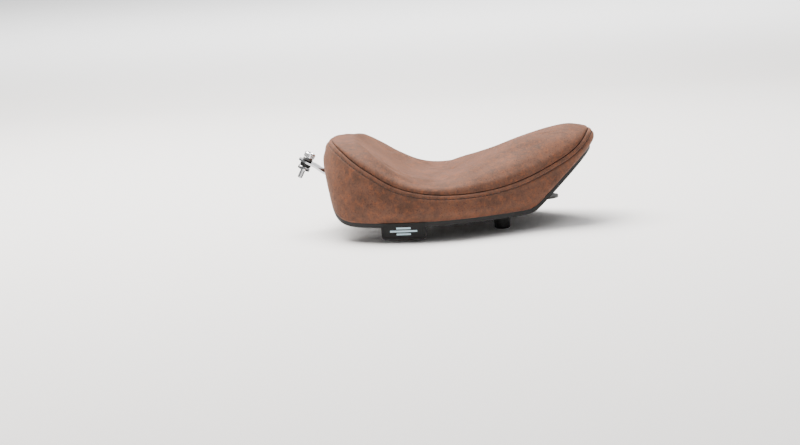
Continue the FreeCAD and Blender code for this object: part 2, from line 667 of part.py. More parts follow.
def carpet_liner():
    """Felt glued under the pan, cut out round the brackets and feet."""
    felt = hem_prism(LAP_END_INSET + LINER_GAP).common(between(LAP_UNDER, PAN_UNDER))
    cuts = [Part.makeCylinder(FOOT_FLANGE_RADIUS + 1, 30, Vector(x, y, -5)) for x, y in FOOT_PLACES.values()]
    half = STRAP_WIDTH / 2 + 1.5
    cuts.append(Part.makeBox(STRAP_FRONT + 21.5, 2 * half, 100, Vector(-20, -half, -5)))
    half = TONGUE_WIDTH / 2 + 1.5
    cuts.append(Part.makeBox(200, 2 * half, 100, Vector(TONGUE_START - 1.5, -half, -5)))
    return felt.cut(Part.makeCompound(cuts))


def build():
    parts = padded_parts()
    parts["edge_trim"] = edge_trim()
    parts["carpet_liner"] = carpet_liner()
    parts["cover_staples"] = cover_staples()

    parts["front_bracket"] = front_bracket()
    bolts, washers, nuts = bolt_set(tongue_spots(), TONGUE_THICK + PAN_TOP - PAN_UNDER)
    parts["front_bracket_bolts"], parts["front_bracket_washers"], parts["front_bracket_tee_nuts"] = bolts, washers, nuts

    parts["rear_strap"] = rear_strap()
    bolts, washers, nuts = bolt_set(strap_spots(), STRAP_CURL + STRAP_THICK + (PAN_TOP - PAN_UNDER) * math.cos(
        math.radians(STRAP_BOLT_TILT)))
    parts["rear_strap_bolts"], parts["rear_strap_washers"], parts["rear_strap_tee_nuts"] = bolts, washers, nuts

    for name, (x, y) in FOOT_PLACES.items():
        parts["bumper_" + name] = rubber_foot(x, y)
    screw = foot_screw()
    parts["bumper_screws"] = Part.makeCompound(
        [stand(screw, x, y, PAN_UNDER - FOOT_SHELF) for x, y in FOOT_PLACES.values()])
    parts["bumper_inserts"] = foot_inserts()

    parts["strap_grommet"] = strap_grommet()
    parts["grommet_cup"] = grommet_cup()
    parts["knob_washer"] = knob_washer()
    parts["thumb_knob"] = thumb_knob()
    parts["knob_stud"] = knob_stud()
    parts["tag_body"] = tag_body()
    parts["tag_emblem"] = tag_emblem()

    hardware = Part.makeCompound([parts[n] for n in parts if n.endswith(("tee_nuts", "inserts", "bolts"))])
    for name in ("foam_core", "base_pan"):
        parts[name] = parts[name].cut(hardware)
    return parts


def place(parts):
    """Moves every piece so that the origin is the bottom centre of the bounding box."""
    box = Part.makeCompound(list(parts.values())).optimalBoundingBox()
    move = Vector(-(box.XMin + box.XMax) / 2, -(box.YMin + box.YMax) / 2, -box.ZMin)
    for shape in parts.values():
        shape.translate(move)
    return move


def main():
    os.makedirs("parts", exist_ok=True)
    parts = build()
    move = place(parts)
    print("moved by", tuple(round(v, 3) for v in move))
    for name, shape in sorted(parts.items()):
        solids = shape.Solids
        flat = solids[0] if len(solids) == 1 else Part.makeCompound(solids)
        flat.exportStep(f"parts/{name}.step")
        box = flat.optimalBoundingBox()
        print(f"{name}: {len(solids)} solids, valid {flat.isValid()}, volume {flat.Volume:.0f},"
              f" z {box.ZMin:.1f} to {box.ZMax:.1f}")


main()
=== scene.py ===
"""Solo motorcycle seat: the looks. Lengths are metres unless a name or comment says mm.

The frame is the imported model's: +X towards the nose, +Y to the left, +Z up.
"""

import json
import math

import bmesh
import bpy
import numpy as np
from mathutils import Matrix, Vector
from mathutils import noise as lumps
from mathutils.bvhtree import BVHTree


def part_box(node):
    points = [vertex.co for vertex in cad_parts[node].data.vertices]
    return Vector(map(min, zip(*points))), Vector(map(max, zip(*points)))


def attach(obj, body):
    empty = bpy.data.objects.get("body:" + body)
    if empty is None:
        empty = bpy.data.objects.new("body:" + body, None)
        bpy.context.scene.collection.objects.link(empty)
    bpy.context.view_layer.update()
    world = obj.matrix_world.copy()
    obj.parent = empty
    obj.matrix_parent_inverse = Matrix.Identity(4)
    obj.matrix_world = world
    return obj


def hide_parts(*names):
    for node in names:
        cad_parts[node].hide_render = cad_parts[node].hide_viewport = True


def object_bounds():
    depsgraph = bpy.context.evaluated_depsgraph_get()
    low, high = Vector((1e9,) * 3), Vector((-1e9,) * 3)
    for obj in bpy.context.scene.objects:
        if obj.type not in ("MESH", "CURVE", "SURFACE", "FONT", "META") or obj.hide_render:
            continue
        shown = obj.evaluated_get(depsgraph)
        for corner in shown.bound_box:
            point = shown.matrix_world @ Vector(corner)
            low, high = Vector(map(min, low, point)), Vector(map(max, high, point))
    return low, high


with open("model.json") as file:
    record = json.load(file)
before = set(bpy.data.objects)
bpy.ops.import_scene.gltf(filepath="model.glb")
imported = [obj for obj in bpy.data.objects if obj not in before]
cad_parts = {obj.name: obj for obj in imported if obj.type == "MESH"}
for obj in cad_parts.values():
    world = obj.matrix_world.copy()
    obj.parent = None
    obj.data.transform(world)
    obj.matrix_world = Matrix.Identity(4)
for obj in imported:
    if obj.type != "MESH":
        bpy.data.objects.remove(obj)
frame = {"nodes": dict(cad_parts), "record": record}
cad_low, cad_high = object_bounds()

MM = 0.001
SEAT = "seat"

# ---- the cover's surface, read from the CAD panels -----------------------------------------------
RAY_START = 0.6  # further out than the seat reaches
NEAREST_HIT = 0.04  # a ray that ends nearer the middle has missed the cover
MIDDLE_RISE = 5 * MM  # the point the rays aim at, over the lowest point of the CAD
OUTLINE_LIFT = math.radians(25)  # rays at this angle find the seat's outline
OUTLINE_STEPS = 721
HALVINGS = 18
COLUMNS = 540  # round the seat
PROFILE_STEPS = 220  # rays per column
LAP = 6.0 * MM  # from the seam down to the stitching
STITCH_ROW = 5.8  # mm below the seam
SEAM_ROWS = [0.0, 0.35, 0.75, 1.2, 1.8, 2.6, 3.4, 4.2, 4.9, 5.4, STITCH_ROW,
             6.2, 6.6, 7.1, 7.8, 8.8, 10.2]  # mm below the seam
CROWN_ROWS = [0.35, 0.75, 1.2, 1.8, 2.6, 3.6, 5.0, 7.0, 9.5]  # mm above the seam
WALL_ROWS = 22  # from there down to the hem
TOP_ROWS = 46  # from there up to the middle
# each pair is mm in from the hem and mm up
TURN_UNDER = [(0.6, 0.05), (1.6, 0.1), (4.0, 0.1), (7.6, 0.1), (8.2, 0.7), (8.4, 2.0), (8.6, 3.4),
              (9.4, 3.9), (12, 3.9), (16, 3.9), (20, 3.9), (23.2, 3.9), (23.8, 4.4), (23.8, 5.6)]
STITCH_PITCH = 4.8 * MM
STITCH_SHARE = 0.72  # how much of each pitch the thread covers
STITCH_WIDTH = 0.95 * MM
STITCH_RISE = 0.35 * MM
MIDDLE_HOLE = 0.004  # radius of the polygon that closes the crown
RIM_INSET = 27.0  # mm from the seam to the bucket's rim
RIM_HEIGHT = 2.4  # mm
RIM_DISH = 1.8  # mm
CREASE_DEPTH = 0.9  # mm
CREASE_PLACES = (0.19, 0.225, 0.27, 0.32)  # shares of the cover's length, from the tail
CLOTH_COLUMNS = 108
CLOTH_SPACING = 6 * MM
CLOTH_FRAMES = 20
SWELL_CAP = 3.0 * MM
FOAM_INSET = 3.4 * MM  # in from the cover's skin
FOAM_FLOOR = 12 * MM  # over the hem
FELT_VOXEL = 1.5 * MM
FELT_LUMP = 0.25 * MM
FELT_LUMPS_PER_M = 160
FINE_LUMPS_PER_M = FELT_LUMPS_PER_M * 3.1
SWELL_START = 1.2 * MM  # how much smaller the shape is before it swells


def panel_tree(*nodes):
    """A search tree over CAD nodes, and the number of triangles in each node."""
    points, faces, counts = [], [], []
    for name in nodes:
        mesh = frame["nodes"][name].data
        start = len(points)
        points += [v.co.copy() for v in mesh.vertices]
        faces += [[start + i for i in p.vertices] for p in mesh.polygons]
        counts.append(len(mesh.polygons))
    return BVHTree.FromPolygons(points, faces), counts


class Surface:
    """The outside of the cover, found by rays aimed at a point inside the pan."""

    def __init__(self):
        low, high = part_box("top_panel")
        self.tree, counts = panel_tree("top_panel", "side_panel_left", "side_panel_right")
        self.top_faces = counts[0]
        self.middle = Vector(((low.x + high.x) / 2, 0, cad_low.z + MIDDLE_RISE))

    def hit(self, turn, lift):
        """(point, is it on the top panel) for the outermost surface in a direction, or None."""
        away = Vector((math.cos(turn) * math.cos(lift), math.sin(turn) * math.cos(lift), math.sin(lift)))
        point, _, face, _ = self.tree.ray_cast(self.middle + away * RAY_START, -away)
        if point is None or (point - self.middle).dot(away) < NEAREST_HIT:
            return None
        return point, face < self.top_faces

    def edge(self, turn, below, above, is_above):
        """The direction, in lift, at which is_above starts to hold."""
        for _ in range(HALVINGS):
            middle = (below + above) / 2
            if is_above(self.hit(turn, middle)):
                above = middle
            else:
                below = middle
        return above

    def column(self, turn):
        """Points from the hem to the middle of the crown, and the distance of each from the seam."""
        seam = self.edge(turn, math.radians(8), math.radians(80), lambda h: h is not None and h[1])
        hem = self.edge(turn, math.radians(1), seam, lambda h: h is not None)
        half = PROFILE_STEPS // 2
        lifts = [hem + (seam - hem) * i / half for i in range(half)]
        lifts += [seam + (math.pi / 2 - seam) * (i / half) ** 1.5 for i in range(half + 1)]
        found = [(i, self.hit(turn, lift)) for i, lift in enumerate(lifts)]
        points = np.array([h[0] for _, h in found if h is not None])
        seam_index = sum(1 for i, h in found if h is not None and i < half)
        steps = np.linalg.norm(np.diff(points, axis=0), axis=1)
        along = np.concatenate([[0], np.cumsum(steps)])
        return points, along - along[seam_index]


def seam_turns(surface):
    """Directions that space the columns evenly along the outline."""
    turns = np.linspace(0, 2 * math.pi, OUTLINE_STEPS)
    low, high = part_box("top_panel")
    reach = []
    for turn in turns:
        h = surface.hit(turn, OUTLINE_LIFT)
        reach.append((h[0] - surface.middle).xy.length if h else (high.y - low.y) / 2)
    reach = np.array(reach)
    x, y = reach * np.cos(turns), reach * np.sin(turns)
    along = np.concatenate([[0], np.cumsum(np.hypot(np.diff(x), np.diff(y)))])
    return np.interp(np.arange(COLUMNS) / COLUMNS * along[-1], along, turns)


def smooth_rows(points, passes):
    """Light smoothing round the seat, which takes out the CAD mesh's facets."""
    for _ in range(passes):
        points = points * 0.5 + (np.roll(points, 1, axis=1) + np.roll(points, -1, axis=1)) * 0.25
    return points


def cover_grid():
    """Rows by columns of points on the cover, with each row's distance from the seam (down is negative)."""
    surface = Surface()
    columns, distances = [], []
    for turn in seam_turns(surface):
        points, along = surface.column(turn)
        down, up = along[0], along[-1]
        wall_start, crown_start = SEAM_ROWS[-1] * MM, CROWN_ROWS[-1] * MM
        wall = np.linspace(down, -wall_start, WALL_ROWS + 1)[:-1]
        near = [-d * MM for d in reversed(SEAM_ROWS)] + [d * MM for d in CROWN_ROWS]
        top = crown_start + (up - MIDDLE_HOLE - crown_start) * np.linspace(0, 1, TOP_ROWS + 1)[1:]
        wanted = np.concatenate([wall, near, top])
        columns.append(np.stack([np.interp(wanted, along, points[:, k]) for k in range(3)], axis=1))
        distances.append(wanted)
    grid = np.stack(columns, axis=1)
    return smooth_rows(grid, 2), np.stack(distances, axis=1)


def grid_normals(grid):
    """Outward directions. Near the middle, where columns crowd together, they span more columns."""
    around = np.roll(grid, -6, axis=1) - np.roll(grid, 6, axis=1)
    wide = np.roll(grid, -45, axis=1) - np.roll(grid, 45, axis=1)
    around[-TOP_ROWS // 3:] = wide[-TOP_ROWS // 3:]
    normal = np.cross(around, np.gradient(grid, axis=0))
    return normal / np.linalg.norm(normal, axis=2, keepdims=True)


# ---- shape details on the cover ------------------------------------------------------------------
def bell(distance, width):
    return np.exp(-((distance / width) ** 2))


def seam_relief(distance, along):
    """Height over the plain surface: the seam's groove, the puffed lap and the stitched line."""
    d = distance / MM
    groove = -1.8 * bell(d, 0.5)
    roll = 0.8 * bell(d - 3.0, 2.4)
    across = np.clip(-d / (LAP / MM), 0, 1)
    lap = 1.3 * np.where((d < 0) & (d > -LAP / MM), np.sin(np.pi * across) ** 0.6, 0)
    between = 0.5 - 0.5 * np.cos(2 * np.pi * along / STITCH_PITCH)
    stitched = -(0.95 - 0.5 * between) * bell(d + LAP / MM, 0.8)
    shoulder = 0.35 * bell(d + LAP / MM + 2.8, 1.9)
    return (groove + roll + lap + stitched + shoulder) * MM


def step(value, start, end):
    """0 up to start, 1 from end, and an even curve between."""
    share = np.clip((value - start) / (end - start), 0, 1)
    return share * share * (3 - 2 * share)


def bucket_relief(grid, distance):
    """The bucket's raised rim beside the tail, the dish inside it, and its creases."""
    low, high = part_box("top_panel")
    x = (grid[:, :, 0] - low.x) / (high.x - low.x)
    y = np.abs(grid[:, :, 1]) / high.y
    beside = step(x, 0.03, 0.12) * (1 - step(x, 0.18, 0.4))
    d = distance / MM
    rim = RIM_HEIGHT * bell(d - RIM_INSET, 6.5) - 1.0 * bell(d - RIM_INSET / 2, 8)
    dish = -RIM_DISH * step(d, RIM_INSET + 3, RIM_INSET + 18) * bell(y, 0.6)
    creases = 0
    for turn, place in enumerate(CREASE_PLACES):
        centre = place + 0.018 * np.sin(8 * y + 2.1 * turn)
        fold = bell(x - centre, 0.011) - 0.6 * bell(x - centre - 0.02, 0.011)
        creases = creases - CREASE_DEPTH * fold * bell(y - 0.42 - 0.05 * turn, 0.13)
    return ((rim + dish) * beside + creases * step(d, 18, 26)) * MM


def add_turn_under(grid):
    """Rows that carry the cover round the hem and under the pan to the lap's cut edge."""
    hem = grid[0]
    along = np.roll(hem, -1, axis=0) - np.roll(hem, 1, axis=0)
    inward = np.stack([-along[:, 1], along[:, 0], np.zeros(len(hem))], axis=1)
    inward /= np.linalg.norm(inward, axis=1, keepdims=True)
    rows = [hem + inward * inset * MM + np.array([0, 0, rise * MM]) for inset, rise in TURN_UNDER]
    return np.concatenate([np.array(rows[::-1]), grid])


def mesh_from_grid(name, grid):
    """A mesh of quads over the grid, closed with one polygon at its middle."""
    rows, columns, _ = grid.shape
    mesh = bpy.data.meshes.new(name)
    faces = []
    for i in range(rows - 1):
        for j in range(columns):
            k = (j + 1) % columns
            faces.append((i * columns + j, i * columns + k, (i + 1) * columns + k, (i + 1) * columns + j))
    faces.append([(rows - 1) * columns + j for j in range(columns)])
    mesh.from_pydata(grid.reshape(-1, 3).tolist(), [], faces)
    mesh.polygons.foreach_set("use_smooth", [True] * len(mesh.polygons))
    mesh.update()
    return mesh


def add_object(name, mesh, material):
    """A new piece with one material, riding on the seat."""
    obj = bpy.data.objects.new(name, mesh)
    bpy.context.scene.collection.objects.link(obj)
    mesh.materials.clear()
    mesh.materials.append(material)
    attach(obj, SEAT)
    return obj


def cloth_rows(distance):
    """Rows of the fine grid, about CLOTH_SPACING apart, that the cloth is made of."""
    seam_row = int(np.argmin(np.abs(distance[:, 0])))
    middle = distance.mean(axis=1)
    rows = [0]
    for k in range(1, len(middle)):
        if middle[k] - middle[rows[-1]] >= CLOTH_SPACING or k == seam_row:
            rows.append(k)
    return rows


def run_cloth(mesh, sewn):
    """The mesh's points after CLOTH_FRAMES frames of pressure, with the sewn points held."""
    cloth = bpy.data.objects.new("cloth", mesh)
    bpy.context.scene.collection.objects.link(cloth)
    cloth.vertex_groups.new(name="sewn").add(sewn, 1.0, "REPLACE")
    modifier = cloth.modifiers.new("cloth", "CLOTH")
    settings = modifier.settings
    settings.quality = 6
    settings.mass = 0.3
    settings.tension_stiffness = settings.compression_stiffness = 20
    settings.bending_stiffness = 0.6
    settings.use_pressure = True
    settings.uniform_pressure_force = 4
    settings.shrink_min = -0.01
    settings.vertex_group_mass = "sewn"
    settings.effector_weights.gravity = 0
    modifier.point_cache.frame_start = 1
    modifier.point_cache.frame_end = CLOTH_FRAMES
    for number in range(1, CLOTH_FRAMES + 1):
        bpy.context.scene.frame_set(number)
    moved = cloth.evaluated_get(bpy.context.evaluated_depsgraph_get())
    points = np.array([v.co for v in moved.data.vertices])
    bpy.context.scene.frame_set(1)
    bpy.data.objects.remove(cloth)
    return points


def swell(grid, distance, normals):
    """How far cloth under pressure pushes each point out.

    A coarse copy of the panels is simulated, sewn down at the hem and along the seam's lap, and its
    movement is spread over the fine grid.
    """
    rows = cloth_rows(distance)
    skip = COLUMNS // CLOTH_COLUMNS
    coarse = grid[rows][:, ::skip]
    near_seam = np.abs(distance[rows].mean(axis=1)) < LAP * 1.2
    near_seam[0] = True
    sewn = [r * CLOTH_COLUMNS + c for r in np.nonzero(near_seam)[0] for c in range(CLOTH_COLUMNS)]
    after = run_cloth(mesh_from_grid("cloth", coarse), [int(i) for i in sewn]).reshape(coarse.shape)
    push = ((after - coarse) * normals[rows][:, ::skip]).sum(axis=2)
    push = np.clip(push, 0, SWELL_CAP)
    push = np.concatenate([push, push[:, :1]], axis=1)
    spots = np.arange(0, COLUMNS + 1, skip)
    across = np.stack([np.interp(np.arange(COLUMNS), spots, row) for row in push])
    full = np.stack([np.interp(np.arange(len(grid)), rows, across[:, c]) for c in range(COLUMNS)], axis=1)
    for _ in range(4):
        full = full * 0.5 + (np.roll(full, 1, axis=1) + np.roll(full, -1, axis=1)) * 0.25
        full[1:-1] = full[1:-1] * 0.5 + (full[2:] + full[:-2]) * 0.25
    full -= SWELL_START * step(np.abs(distance), LAP, 3 * LAP)
    from_hem, from_middle = distance - distance[:1], distance[-1:] - distance
    full *= step(from_hem, 2 * MM, 20 * MM)
    level = step(from_middle, 4 * MM, 40 * MM)
    return full * level + full[-TOP_ROWS // 4:].mean() * (1 - level)


def make_cover(material, groove_shade_material):
    """The cover's skin. Returns its grid without and with the seam's relief, its normals, and the
    distance along the seam at each column."""
    grid, distance = cover_grid()
    normals = grid_normals(grid)
    grid = grid + normals * bucket_relief(grid, distance)[:, :, None]
    grid = grid + normals * swell(grid, distance, normals)[:, :, None]
    normals = grid_normals(grid)
    seam = grid[WALL_ROWS + len(SEAM_ROWS) - 1]
    steps = np.linalg.norm(np.roll(seam, -1, axis=0) - seam, axis=1)
    along = np.concatenate([[0], np.cumsum(steps)[:-1]])
    along *= round(steps.sum() / STITCH_PITCH) * STITCH_PITCH / steps.sum()
    relief = seam_relief(distance, along[None, :])
    shaped = grid + normals * relief[:, :, None]
    cover = add_object("cover", mesh_from_grid("cover", add_turn_under(shaped)), material)
    # the faces along the seam's groove get a near-black material: painted shade in the groove's recess
    cover.data.materials.append(groove_shade_material)
    first = len(TURN_UNDER) + WALL_ROWS + len(SEAM_ROWS) - 2
    for face in cover.data.polygons[first * COLUMNS:(first + 2) * COLUMNS]:
        face.material_index = 1
    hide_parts("top_panel", "side_panel_left", "side_panel_right")
    return grid, shaped, normals, along


def make_foam(grid, normals, material):
    """The foam inside the cover, from just over the pan."""
    base = int(np.argmax(grid[:, :, 2].mean(axis=1) > grid[0, :, 2].mean() + FOAM_FLOOR))
    inside = (grid - normals * FOAM_INSET)[base:]
    mesh = mesh_from_grid("foam", inside)
    made = bmesh.new()
    made.from_mesh(mesh)
    made.verts.ensure_lookup_table()
    made.faces.new([made.verts[j] for j in reversed(range(COLUMNS))])
    made.to_mesh(mesh)
    made.free()
    foam = add_object("foam", mesh, material)
    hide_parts("foam_core")


def island_of(start):
    """The vertices joined to one vertex."""
    island, waiting = {start}, [start]
    while waiting:
        vertex = waiting.pop()
        for edge in vertex.link_edges:
            other = edge.other_vert(vertex)
            if other not in island:
                island.add(other)
                waiting.append(other)
    return island


def drop_scraps(mesh):
    """Keeps the part of the mesh that holds its middle vertex, and drops the remesh's loose scraps."""
    made = bmesh.new()
    made.from_mesh(mesh)
    made.verts.ensure_lookup_table()
    kept = island_of(made.verts[len(made.verts) // 2])
    bmesh.ops.delete(made, geom=[v for v in made.verts if v not in kept], context="VERTS")
    made.to_mesh(mesh)
    made.free()


def make_felt(material):
    """The felt under the pan: the CAD sheet, slightly thinner, with soft edges and a lumpy surface."""
    felt_sheet = add_object("felt_sheet", frame["nodes"]["carpet_liner"].data.copy(), material)
    remesh = felt_sheet.modifiers.new("remesh", "REMESH")
    remesh.mode = "VOXEL"
    remesh.voxel_size = FELT_VOXEL
    remeshed = felt_sheet.evaluated_get(bpy.context.evaluated_depsgraph_get())
    mesh = bpy.data.meshes.new_from_object(remeshed)
    felt_sheet.modifiers.clear()
    felt_sheet.data = mesh
    drop_scraps(mesh)
    outward = [vertex.normal.copy() for vertex in mesh.vertices]
    for vertex, out in zip(mesh.vertices, outward):
        lump = lumps.noise(vertex.co * FELT_LUMPS_PER_M) + 0.6 * lumps.noise(vertex.co * FINE_LUMPS_PER_M)
        vertex.co += out * FELT_LUMP * (0.5 * lump - 0.8)
    mesh.polygons.foreach_set("use_smooth", [True] * len(mesh.polygons))
    mesh.update()
    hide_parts("carpet_liner")


# ---- materials -----------------------------------------------------------------------------------
def new_material(name):
    material = bpy.data.materials.new(name)
    material.use_nodes = True
    tree = material.node_tree
    return material, tree.nodes, tree.links, tree.nodes["Principled BSDF"]


def coordinates(nodes, links, stretch=(1, 1, 1)):
    place = nodes.new("ShaderNodeTexCoord")
    mapping = nodes.new("ShaderNodeMapping")
    mapping.inputs["Scale"].default_value = stretch
    links.new(place.outputs["Object"], mapping.inputs["Vector"])
    return mapping.outputs["Vector"]


def noise(nodes, links, vector, scale, detail=4.0, rough=0.55, distortion=0.0):
    node = nodes.new("ShaderNodeTexNoise")
    node.inputs["Scale"].default_value = scale
    node.inputs["Detail"].default_value = detail
    node.inputs["Roughness"].default_value = rough
    node.inputs["Distortion"].default_value = distortion
    links.new(vector, node.inputs["Vector"])
    return node.outputs["Fac"]


def ramp(nodes, links, value, stops):
    node = nodes.new("ShaderNodeValToRGB")
    elements = node.color_ramp.elements
    while len(elements) < len(stops):
        elements.new(0.5)
    for element, (place, colour) in zip(elements, stops):
        element.position = place
        element.color = (*colour, 1) if len(colour) == 3 else colour
    links.new(value, node.inputs["Fac"])
    return node.outputs["Color"]


def grey(value):
    return (value, value, value)


def mix(nodes, links, share, a, b):
    node = nodes.new("ShaderNodeMix")
    node.data_type = "RGBA"
    for socket, value in ((node.inputs[0], share), (node.inputs[6], a), (node.inputs[7], b)):
        if isinstance(value, (int, float)):
            socket.default_value = value
        elif isinstance(value, tuple):
            socket.default_value = (*value, 1)
        else:
            links.new(value, socket)
    return node.outputs[2]


def bump(nodes, links, height, strength, distance, below=None):
    node = nodes.new("ShaderNodeBump")
    node.inputs["Strength"].default_value = strength
    node.inputs["Distance"].default_value = distance
    links.new(height, node.inputs["Height"])
    if below is not None:
        links.new(below, node.inputs["Normal"])
    return node.outputs["Normal"]


def leather():
    """Distressed brown vinyl: fine rust grain and dark specks over soft rust and gray-brown clouds."""
    material, nodes, links, shader = new_material("distressed_leather")
    vector = coordinates(nodes, links)
    broad = noise(nodes, links, vector, 24, detail=4, rough=0.6, distortion=0.6)
    tone = ramp(nodes, links, broad, [(0.32, (0.084, 0.044, 0.031)), (0.5, (0.118, 0.059, 0.041)),
                                      (0.68, (0.153, 0.071, 0.046))])
    drawn = coordinates(nodes, links, (1, 1, 0.7))
    vein = noise(nodes, links, drawn, 210, detail=8, rough=0.74, distortion=0.7)
    rust = ramp(nodes, links, vein, [(0.48, grey(0)), (0.60, grey(0.45)), (0.72, grey(0.8))])
    tone = mix(nodes, links, rust, tone, (0.26, 0.085, 0.038))
    cloud = noise(nodes, links, vector, 95, detail=6, rough=0.7, distortion=0.4)
    shade = ramp(nodes, links, cloud, [(0.33, grey(0.62)), (0.47, grey(0.16)), (0.56, grey(0))])
    tone = mix(nodes, links, shade, tone, (0.058, 0.036, 0.028))
    speck = noise(nodes, links, vector, 620, detail=3, rough=0.7)
    dark = ramp(nodes, links, speck, [(0.33, grey(0.7)), (0.46, grey(0))])
    tone = mix(nodes, links, dark, tone, (0.030, 0.020, 0.017))
    links.new(tone, shader.inputs["Base Color"])
    gloss = ramp(nodes, links, cloud, [(0.3, grey(0.62)), (0.7, grey(0.74))])
    links.new(gloss, shader.inputs["Roughness"])
    grain = nodes.new("ShaderNodeTexVoronoi")
    grain.feature = "DISTANCE_TO_EDGE"
    grain.inputs["Scale"].default_value = 900
    links.new(vector, grain.inputs["Vector"])
    pores = bump(nodes, links, grain.outputs["Distance"], 0.3, 0.0004)
    soft = noise(nodes, links, coordinates(nodes, links, (0.6, 1, 1)), 150, detail=5, rough=0.6)
    links.new(bump(nodes, links, soft, 0.28, 0.0012, pores), shader.inputs["Normal"])
    shader.inputs["Specular IOR Level"].default_value = 0.1
    shader.inputs["Specular Tint"].default_value = (1.0, 0.82, 0.70, 1)
    shader.inputs["Sheen Weight"].default_value = 0.1
    shader.inputs["Sheen Roughness"].default_value = 0.5
    shader.inputs["Sheen Tint"].default_value = (1.0, 0.55, 0.36, 1)
    return material


def rubber(name="black_rubber", colour=0.006, rough=0.55):
    material, nodes, links, shader = new_material(name)
    vector = coordinates(nodes, links)
    cloud = noise(nodes, links, vector, 130, detail=5)
    links.new(ramp(nodes, links, cloud, [(0.3, grey(colour * 0.8)), (0.7, grey(colour * 1.5))]),
              shader.inputs["Base Color"])
    links.new(ramp(nodes, links, cloud, [(0.3, grey(rough - 0.06)), (0.7, grey(rough + 0.1))]),
              shader.inputs["Roughness"])
    fine = noise(nodes, links, vector, 1800, detail=3)
    links.new(bump(nodes, links, fine, 0.12, 0.0002), shader.inputs["Normal"])
    shader.inputs["Specular IOR Level"].default_value = 0.35
    return material


def metal(name, colour, rough, scratch=0.06, metallic=1.0):
    material, nodes, links, shader = new_material(name)
    vector = coordinates(nodes, links, (1, 1, 6))
    marks = noise(nodes, links, vector, 420, detail=6, rough=0.7)
    low = tuple(c * 0.86 for c in colour)
    links.new(ramp(nodes, links, marks, [(0.3, low), (0.7, colour)]), shader.inputs["Base Color"])
    links.new(ramp(nodes, links, marks, [(0.3, grey(rough)), (0.75, grey(rough + scratch))]),
              shader.inputs["Roughness"])
    links.new(bump(nodes, links, marks, 0.05, 0.0001), shader.inputs["Normal"])
    shader.inputs["Metallic"].default_value = metallic
    return material


def felt():
    material, nodes, links, shader = new_material("felt")
    vector = coordinates(nodes, links)
    fibre = noise(nodes, links, vector, 700, detail=8, rough=0.75, distortion=2.5)
    tone = ramp(nodes, links, fibre, [(0.3, grey(0.010)), (0.7, grey(0.05))])
    links.new(tone, shader.inputs["Base Color"])
    links.new(bump(nodes, links, fibre, 0.6, 0.0008), shader.inputs["Normal"])
    shader.inputs["Roughness"].default_value = 0.95
    shader.inputs["Sheen Weight"].default_value = 0.1
    return material


def plastic():
    material, nodes, links, shader = new_material("moulded_plastic")
    vector = coordinates(nodes, links)
    grain = noise(nodes, links, vector, 900, detail=3)
    tone = ramp(nodes, links, grain, [(0.3, grey(0.016)), (0.7, grey(0.028))])
    links.new(tone, shader.inputs["Base Color"])
    links.new(bump(nodes, links, grain, 0.25, 0.0002), shader.inputs["Normal"])
    shader.inputs["Roughness"].default_value = 0.55
    return material


def nylon():
    material, nodes, links, shader = new_material("gray_nylon")
    cloud = noise(nodes, links, coordinates(nodes, links), 300, detail=4)
    tone = ramp(nodes, links, cloud, [(0.3, grey(0.10)), (0.7, grey(0.15))])
    links.new(tone, shader.inputs["Base Color"])
    shader.inputs["Roughness"].default_value = 0.45
    return material


def print_ink():
    material, nodes, links, shader = new_material("tag_print")
    cloud = noise(nodes, links, coordinates(nodes, links), 600, detail=4)
    links.new(ramp(nodes, links, cloud, [(0.3, (0.45, 0.66, 0.78)), (0.7, (0.60, 0.78, 0.87))]),
              shader.inputs["Base Color"])
    shader.inputs["Roughness"].default_value = 0.4
    return material


def thread():
    material, nodes, links, shader = new_material("thread")
    twist = nodes.new("ShaderNodeTexWave")
    twist.inputs["Scale"].default_value = 1400
    twist.inputs["Distortion"].default_value = 1.5
    links.new(coordinates(nodes, links), twist.inputs["Vector"])
    tone = ramp(nodes, links, twist.outputs["Fac"],
                [(0.2, (0.018, 0.011, 0.009)), (0.8, (0.045, 0.027, 0.021))])
    links.new(tone, shader.inputs["Base Color"])
    shader.inputs["Roughness"].default_value = 0.6
    return material


def dress_nodes():
    """Every CAD node gets its finish."""
    finishes = {
        "black_plastic": plastic(),
        "black_rubber": rubber(),
        "felt": felt(),
        "zinc_steel": metal("zinc_steel", (0.55, 0.56, 0.58), 0.32),
        "black_steel": metal("black_steel", (0.02, 0.02, 0.02), 0.4, metallic=0.0),
        "black_bolt_steel": metal("black_bolt_steel", (0.035, 0.035, 0.037), 0.35, metallic=0.6),
        "polished_steel": metal("polished_steel", (0.66, 0.67, 0.69), 0.12),
        "brass": metal("brass", (0.78, 0.57, 0.25), 0.25),
        "gray_nylon": nylon(),
        "chrome": metal("chrome", (0.86, 0.87, 0.89), 0.06, scratch=0.04),
        "tag_rubber": rubber("tag_rubber", 0.008, 0.7),
        "tag_print": print_ink(),
        "thread": thread(),
        "foam": rubber("foam", 0.6, 0.9),
        "cover_vinyl": leather(),
    }
    for part in frame["record"]["subparts"]:
        mesh = frame["nodes"][part["node"]].data
        mesh.materials.clear()
        mesh.materials.append(finishes[part["material_slot"]])
    return finishes


